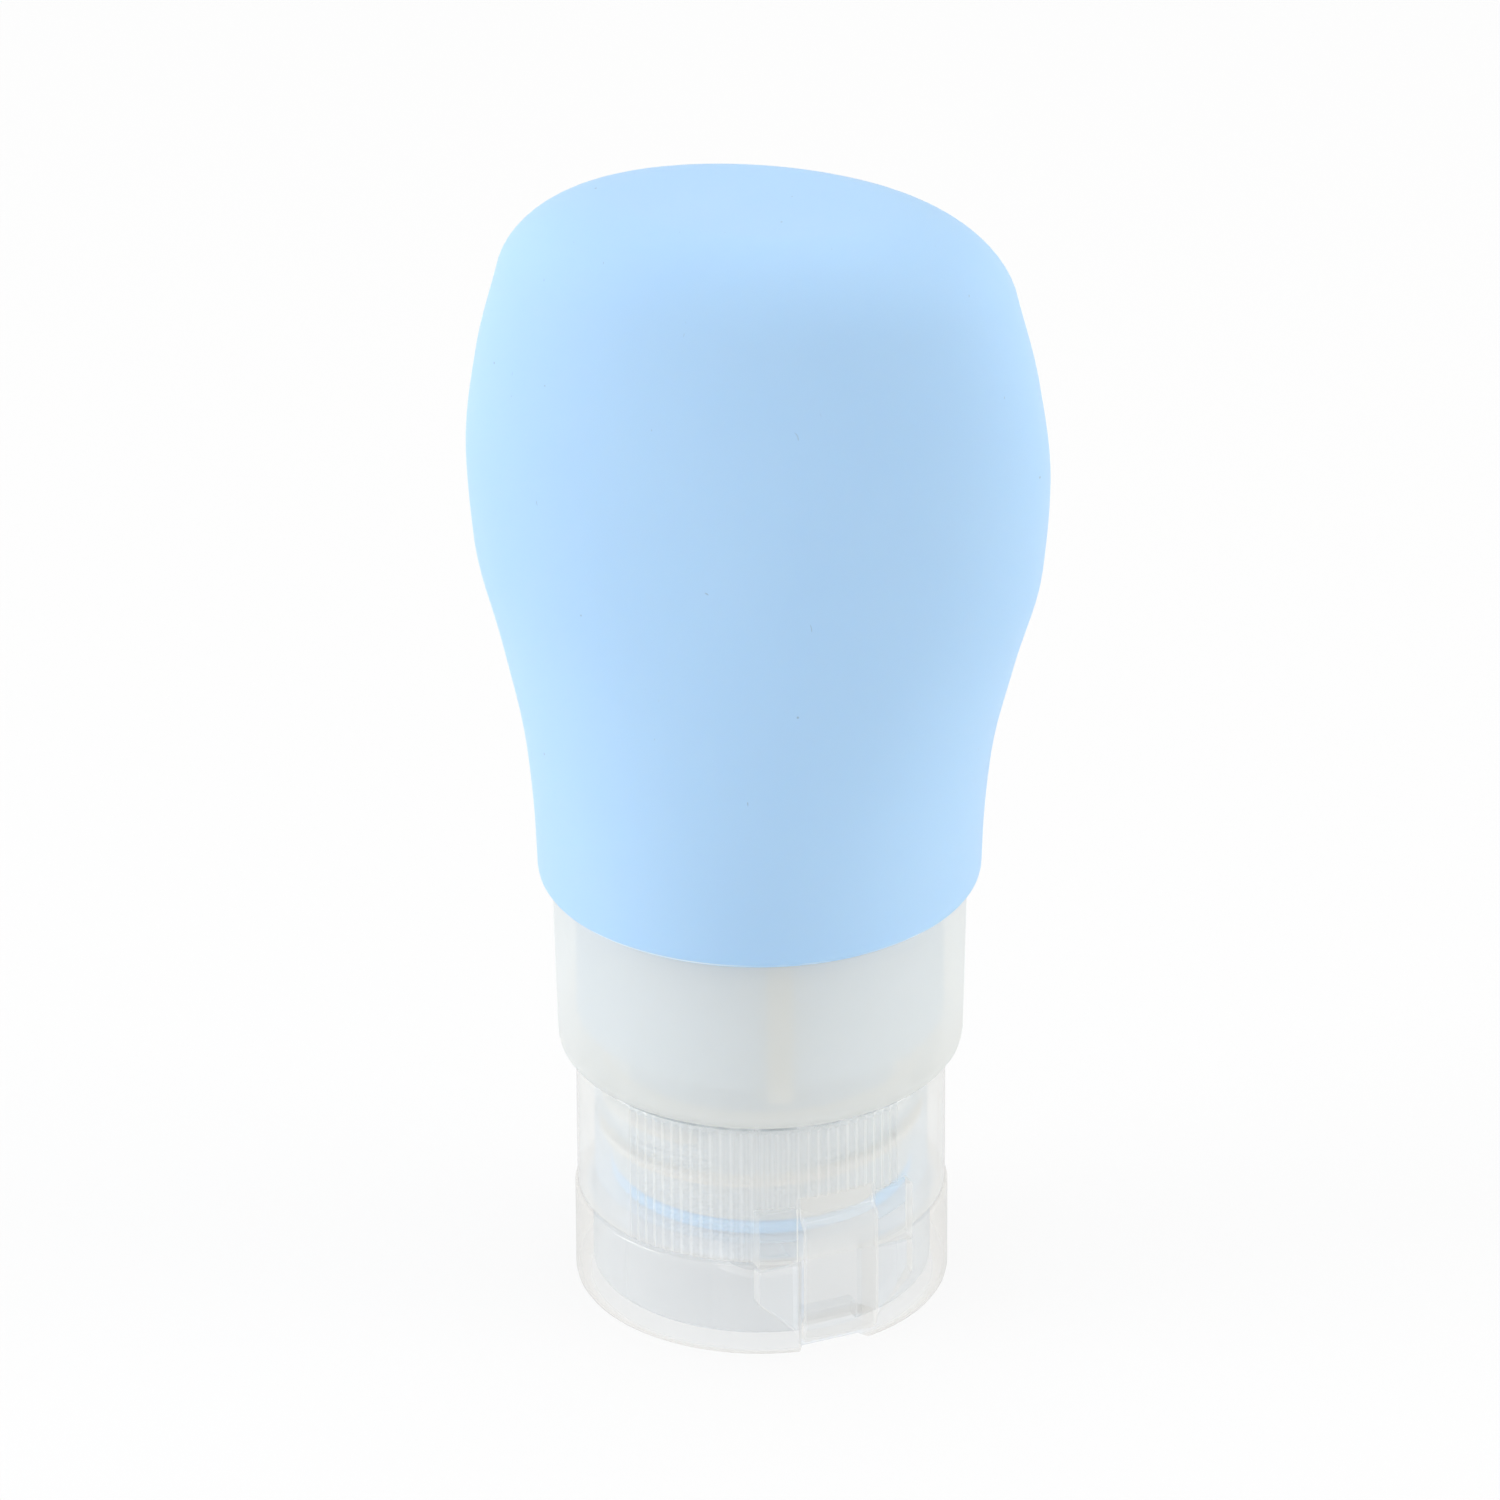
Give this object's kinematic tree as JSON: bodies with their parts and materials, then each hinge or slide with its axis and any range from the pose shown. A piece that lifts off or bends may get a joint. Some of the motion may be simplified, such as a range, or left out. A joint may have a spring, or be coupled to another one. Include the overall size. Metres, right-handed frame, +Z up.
{
  "type": "travel squeeze bottle",
  "caption": "Soft silicone squeeze bottle, oval and flattened towards its closed end, with a rigid threaded collar, a ribbed screw cap with a slit valve, and a hinged flip lid as its foot.",
  "frame": {"origin": "on the bottle's axis, on the flip lid's outer face, which the bottle stands on", "axes": "+Z up along the bottle's axis, from the lid to the closed end; the lid's hinge is on the -Y side"},
  "size_m": [0.043, 0.0376, 0.1],
  "materials": {
    "silicone": "satin moulded silicone",
    "valve_silicone": "smooth moulded silicone",
    "milky_polypropylene": "satin moulded",
    "clear_polypropylene": "gloss moulded"
  },
  "bodies": {
    "bottle": {"squeeze_body": "silicone", "threaded_collar": "milky_polypropylene"},
    "valve": {"valve_membrane": "valve_silicone", "valve_retainer": "milky_polypropylene"},
    "cap": {"screw_cap": "clear_polypropylene", "hinge_strap": "clear_polypropylene"},
    "lid": {"flip_lid": "clear_polypropylene"}
  },
  "joints": [
    {"name": "cap_lift", "type": "slide", "parent": "bottle", "child": "valve", "axis": [0, 0, -1], "range_m": [0, 0.007]},
    {"name": "cap_turn", "type": "hinge", "parent": "valve", "child": "cap", "pos_m": [0, 0, 0], "axis": [0, 0, -1], "range_deg": [0, 720]},
    {"name": "lid_flip", "type": "hinge", "parent": "cap", "child": "lid", "pos_m": [0, -0.0155, 0.00882], "axis": [-1, 0, 0], "range_deg": [0, 140], "deforming": ["hinge_strap"]}
  ],
  "couplings": [
    {"joint": "cap_lift", "follows": "cap_turn", "m_per_rad": 0.00055704}
  ]
}
